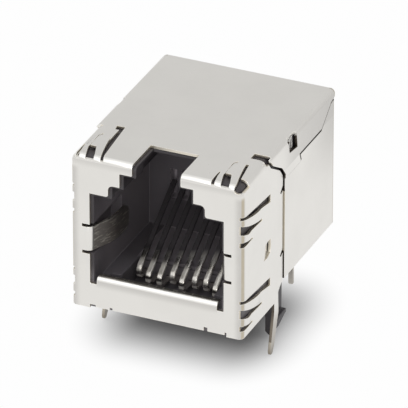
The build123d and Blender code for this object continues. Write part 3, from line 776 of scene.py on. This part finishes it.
class JACK_OT_make_wires(Operator):
    """Draws the eight contact wires with rounded edges and domed ends"""
    bl_idname = "jack.make_wires"
    bl_label = "Make the contact wires"

    def execute(self, context):
        look = context.scene.jack_wire
        material = plated_wire(look)
        for number in range(1, 9):
            points, faces = swept_wire(wire_path(number), look.width, look.thickness,
                                       power=5.0, tip=0.12 * MM)
            piece = mesh_piece(f"contact_wire_{number}", points, faces)
            dress(piece, material)
            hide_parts(f"contact_{number}")
        return {"FINISHED"}


def soft_lamp(name, power, size, place, target):
    """A square area lamp that faces a target."""
    data = bpy.data.lights.new(name, "AREA")
    data.energy = power
    data.size = size
    lamp = bpy.data.objects.new(name, data)
    lamp.location = place
    lamp.rotation_euler = (Vector(target) - Vector(place)).to_track_quat("-Z", "Y").to_euler()
    bpy.context.scene.collection.objects.link(lamp)


class JACK_OT_set_studio(Operator):
    """Lays the floor, hangs the lamps, sets the even sky and places the camera"""
    bl_idname = "jack.set_studio"
    bl_label = "Set the studio"

    def execute(self, context):
        look = context.scene.jack_studio
        scene = context.scene
        scene.view_settings.view_transform = "Standard"
        self.lay_floor(look)
        self.light(look)
        self.place_camera(look)
        return {"FINISHED"}

    def lay_floor(self, look):
        """One large square at the tips of the solder tails."""
        half = 1.5
        corners = np.array([(-half, -half, REST_LEVEL), (half, -half, REST_LEVEL),
                            (half, half, REST_LEVEL), (-half, half, REST_LEVEL)])
        floor = mesh_piece("studio_floor", corners, [[0, 1, 2, 3]])
        floor.data.materials.append(floor_finish(look))

    def light(self, look):
        """An even sky, white to the camera, with soft lamps at the front left, the right and the port."""
        graph = Graph("studio_sky", bpy.data.worlds)
        bpy.context.scene.world = graph.block
        path = graph.add("ShaderNodeLightPath")
        height = graph.axes(graph.add("ShaderNodeTexCoord").outputs["Generated"])[2]
        up = graph.maths("MAXIMUM", height, 0.0)
        zenith = look.sky * 2.5 * (1 - look.sky_edge)
        overhead = look.sky * look.sky_edge + up * up * up * zenith
        glossy = graph.out(path, "Is Glossy Ray")
        strength = graph.maths("MULTIPLY_ADD", glossy, look.sky - overhead, overhead)
        sky = graph.add("ShaderNodeBackground", None, {"Strength": strength})
        white = graph.add("ShaderNodeBackground", None, {"Strength": look.white})
        mixed = graph.add("ShaderNodeMixShader", None,
                          {0: graph.out(path, "Is Camera Ray"), 1: sky.outputs[0], 2: white.outputs[0]})
        graph.add("ShaderNodeOutputWorld", None, {"Surface": mixed.outputs[0]})
        centre = (0, 0, 0.006)
        soft_lamp("key_lamp", look.key, size=0.60, place=(-0.17, -0.26, 0.42), target=centre)
        soft_lamp("fill_lamp", look.fill, size=0.30, place=(0.40, 0.05, 0.25), target=centre)
        soft_lamp("port_lamp", look.port, size=0.25, place=(0.12, -0.46, 0.20), target=centre)

    def place_camera(self, look):
        """A long lens at the photograph's angle; the aim puts the front face where the photograph has it."""
        scale = look.distance / (look.lens / SENSOR * PHOTO_SIZE)
        back = Vector((math.sin(look.azimuth) * math.cos(look.elevation),
                       -math.cos(look.azimuth) * math.cos(look.elevation), math.sin(look.elevation)))
        right = Vector((math.cos(look.azimuth), math.sin(look.azimuth), 0))
        up = back.cross(right)
        front_foot = Vector((0, FRONT, 0))
        aim = front_foot + right * (PHOTO_SIZE / 2 - FOOT_PIXEL[0]) * scale
        aim += up * (FOOT_PIXEL[1] - PHOTO_SIZE / 2) * scale
        data = bpy.data.cameras.new("camera")
        data.sensor_width = SENSOR
        data.lens = look.lens
        data.clip_start = 0.01
        data.clip_end = 10
        camera = bpy.data.objects.new("camera", data)
        rotation = Matrix((right, up, back)).transposed().to_4x4()
        camera.matrix_world = Matrix.Translation(aim + back * look.distance) @ rotation
        bpy.context.scene.collection.objects.link(camera)
        bpy.context.scene.camera = camera


class JACK_PT_sidebar(Panel):
    """Lists the steps that dress the jack"""
    bl_idname = "JACK_PT_sidebar"
    bl_label = "Board jack"
    bl_space_type = "VIEW_3D"
    bl_region_type = "UI"
    bl_category = "Jack"

    def draw(self, context):
        for operator in OPERATORS:
            self.layout.operator(operator.bl_idname)
        for name, _ in LOOKS:
            look = getattr(context.scene, name)
            for prop in look.bl_rna.properties:
                if prop.identifier not in ("rna_type", "name"):
                    self.layout.prop(look, prop.identifier)


OPERATORS = (JACK_OT_dress_shield, JACK_OT_dress_mouldings, JACK_OT_make_wires, JACK_OT_set_studio)
LOOKS = (("jack_sheet", SheetLook), ("jack_moulding", MouldingLook), ("jack_wire", WireLook),
         ("jack_studio", StudioLook))


def register():
    for _, look in LOOKS:
        bpy.utils.register_class(look)
    for cls in OPERATORS + (JACK_PT_sidebar,):
        bpy.utils.register_class(cls)
    for name, look in LOOKS:
        setattr(bpy.types.Scene, name, PointerProperty(type=look))


def unregister():
    for name, _ in LOOKS:
        delattr(bpy.types.Scene, name)
    for cls in (JACK_PT_sidebar,) + OPERATORS:
        bpy.utils.unregister_class(cls)
    for _, look in LOOKS:
        bpy.utils.unregister_class(look)


def main():
    """Dresses the jack."""
    register()
    bpy.ops.jack.dress_shield()
    bpy.ops.jack.dress_mouldings()
    bpy.ops.jack.make_wires()
    bpy.ops.jack.set_studio()


if __name__ == "__main__":
    main()
